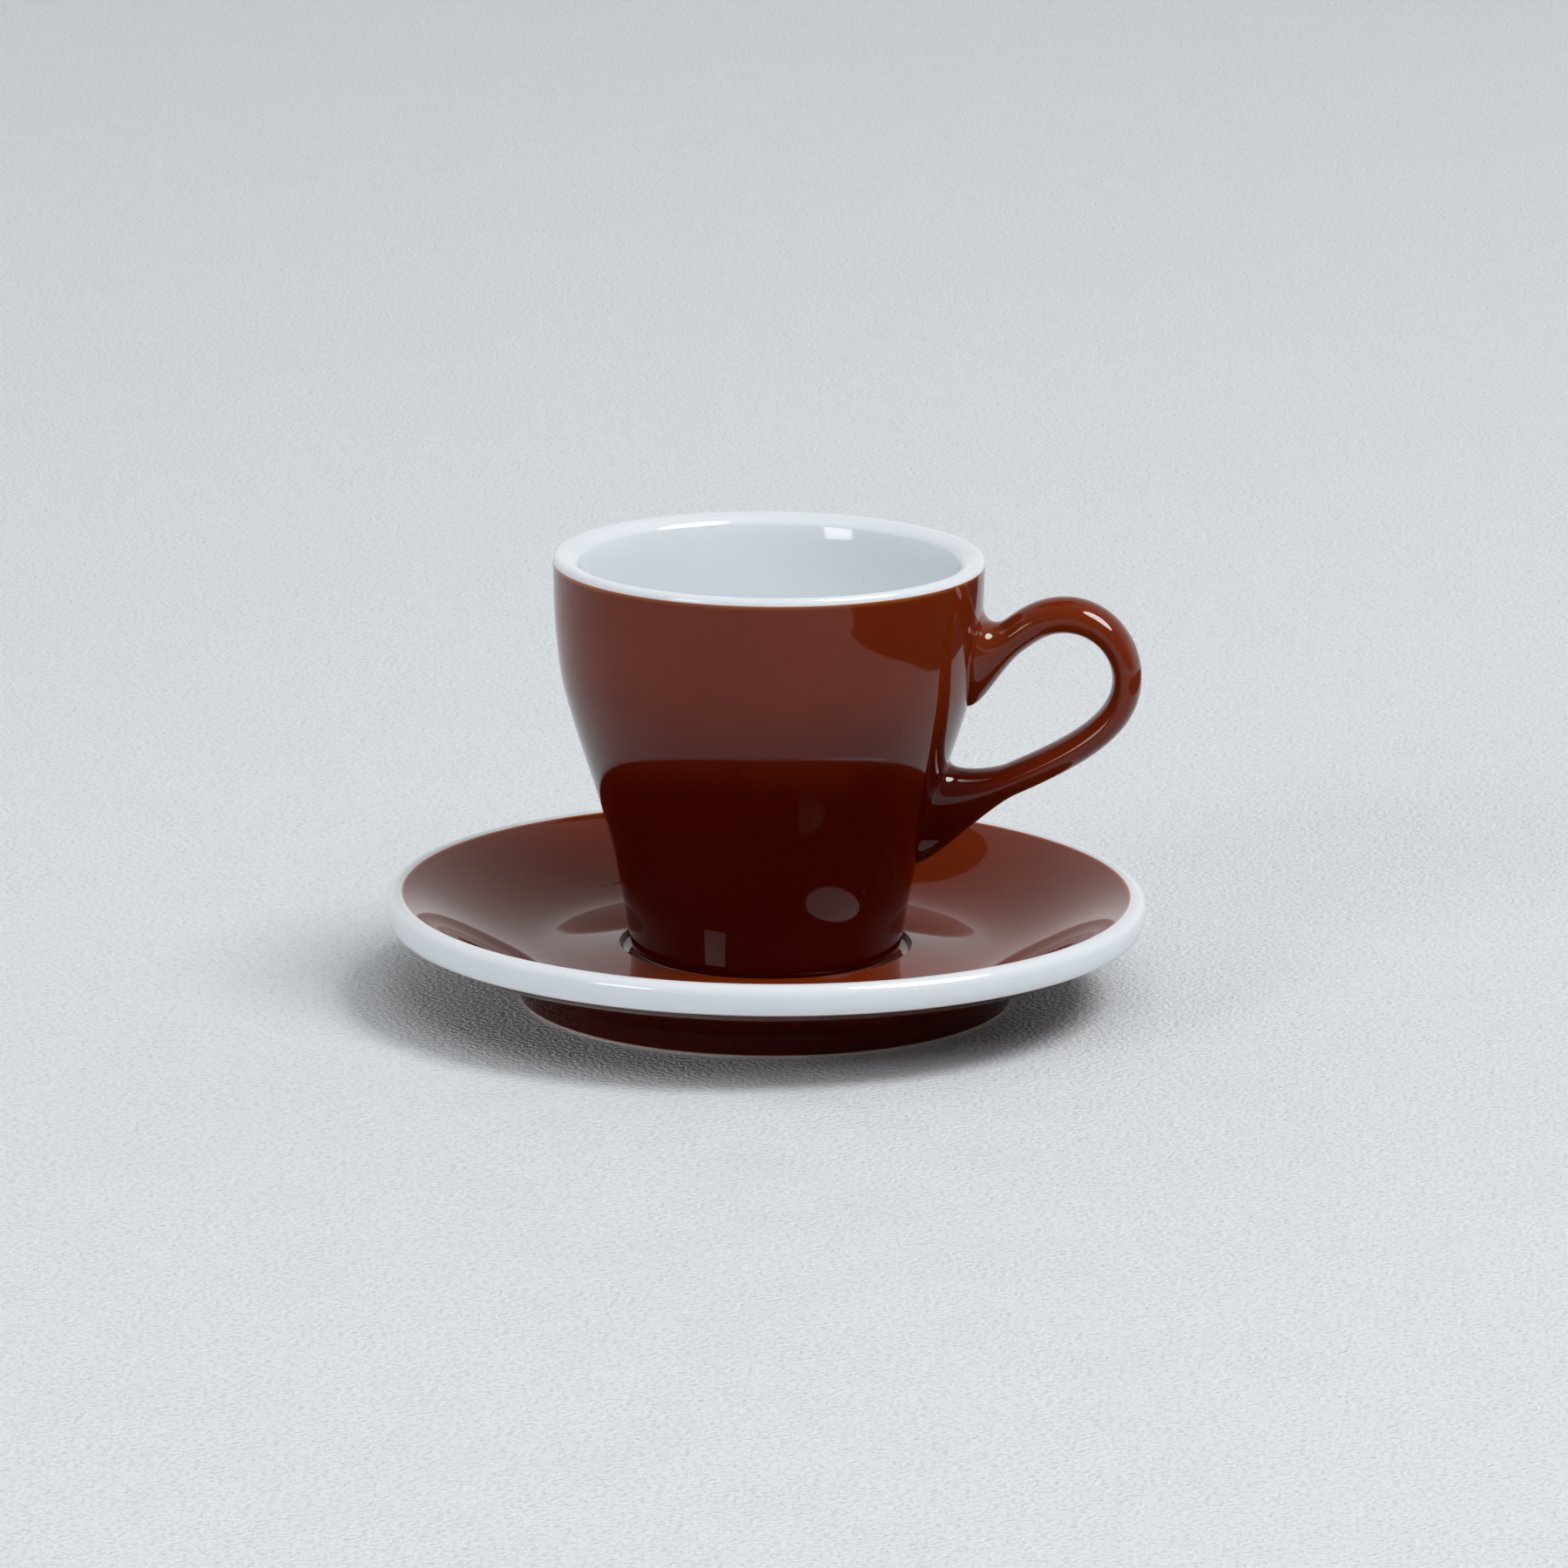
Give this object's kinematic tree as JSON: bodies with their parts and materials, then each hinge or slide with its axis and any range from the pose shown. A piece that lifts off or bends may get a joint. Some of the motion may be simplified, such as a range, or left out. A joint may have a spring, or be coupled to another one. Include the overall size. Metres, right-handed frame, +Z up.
{
  "type": "cappuccino cup with saucer",
  "caption": "Flared ceramic cup with a loop handle, glazed brown outside and white inside, standing in the well of a brown saucer with a white rim.",
  "frame": {"origin": "centre of the saucer's foot ring on the table, with the cup standing in the saucer's well", "axes": "+Z up along the common axis of saucer and cup, +X towards the cup's handle"},
  "size_m": [0.14, 0.14, 0.083],
  "materials": {
    "clay": "fired stoneware body, bare only at the foot rings",
    "slip": "fired slip that joins the handle",
    "brown_glaze": "high gloss red-brown glaze, amber where it runs thin at edges",
    "white_glaze": "high gloss white glaze"
  },
  "bodies": {
    "saucer": {"saucer_body": "clay", "saucer_top_glaze": "brown_glaze", "saucer_rim_glaze": "white_glaze", "saucer_under_glaze": "brown_glaze", "saucer_base_glaze": "brown_glaze"},
    "cup": {"cup_body": "clay", "cup_liner_glaze": "white_glaze", "cup_outer_glaze": "brown_glaze", "cup_base_glaze": "brown_glaze", "cup_handle": "clay", "handle_glaze": "brown_glaze", "handle_upper_lute": "slip", "handle_lower_lute": "slip"}
  },
  "joints": [
    {"name": "cup_lift", "type": "slide", "parent": "saucer", "child": "cup", "axis": [0, 0, 1], "range_m": [0, 0.12]}
  ]
}
